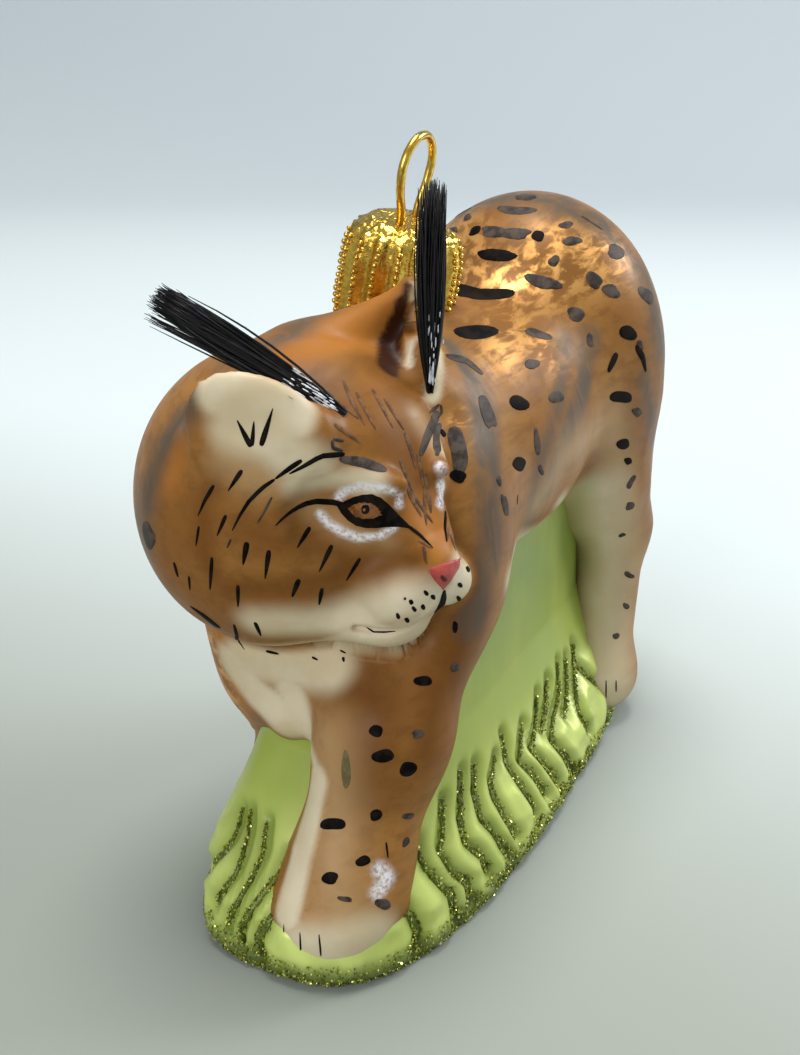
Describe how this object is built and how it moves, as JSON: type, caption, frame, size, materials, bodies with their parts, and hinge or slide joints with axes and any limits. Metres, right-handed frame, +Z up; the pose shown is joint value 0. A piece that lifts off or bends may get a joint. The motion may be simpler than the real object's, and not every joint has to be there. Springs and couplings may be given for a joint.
{
  "type": "glass lynx ornament",
  "caption": "Mould-blown glass lynx walking on a moulded grass base with its head turned, bristle ear tufts, and a crimped metal cap with a wire hanging loop.",
  "frame": {"origin": "centre of the base's flat underside, on the surface it stands on", "axes": "+Z up, -Y towards the lynx's front, +X towards the lynx's left"},
  "size_m": [0.0437, 0.0944, 0.0865],
  "materials": {
    "painted_fur": "satin orange-brown paint over silvered glass, with dark spots",
    "painted_cream": "satin cream and white paint",
    "painted_mark": "hand-painted black and dark brown strokes",
    "painted_eye": "glossy amber paint",
    "painted_nose": "pink-red paint",
    "green_glaze": "pearly green paint over silvered glass",
    "green_glitter": "dark green and olive glitter in clear glue",
    "gold_metal": "bright gold-coloured crimped metal",
    "black_bristle": "stiff black bristle",
    "white_glue": "dried white glue and brushed white paint"
  },
  "bodies": {
    "root": {"torso": "painted_fur", "neck": "painted_fur", "head": "painted_fur", "ear_left": "painted_fur", "ear_right": "painted_fur", "leg_front_left": "painted_fur", "leg_front_right": "painted_fur", "leg_hind_left": "painted_fur", "leg_hind_right": "painted_fur", "tail": "painted_fur", "grass_base": "green_glaze", "cap": "gold_metal", "hanger": "gold_metal", "tuft_left": "black_bristle", "tuft_right": "black_bristle"}
  },
  "joints": []
}
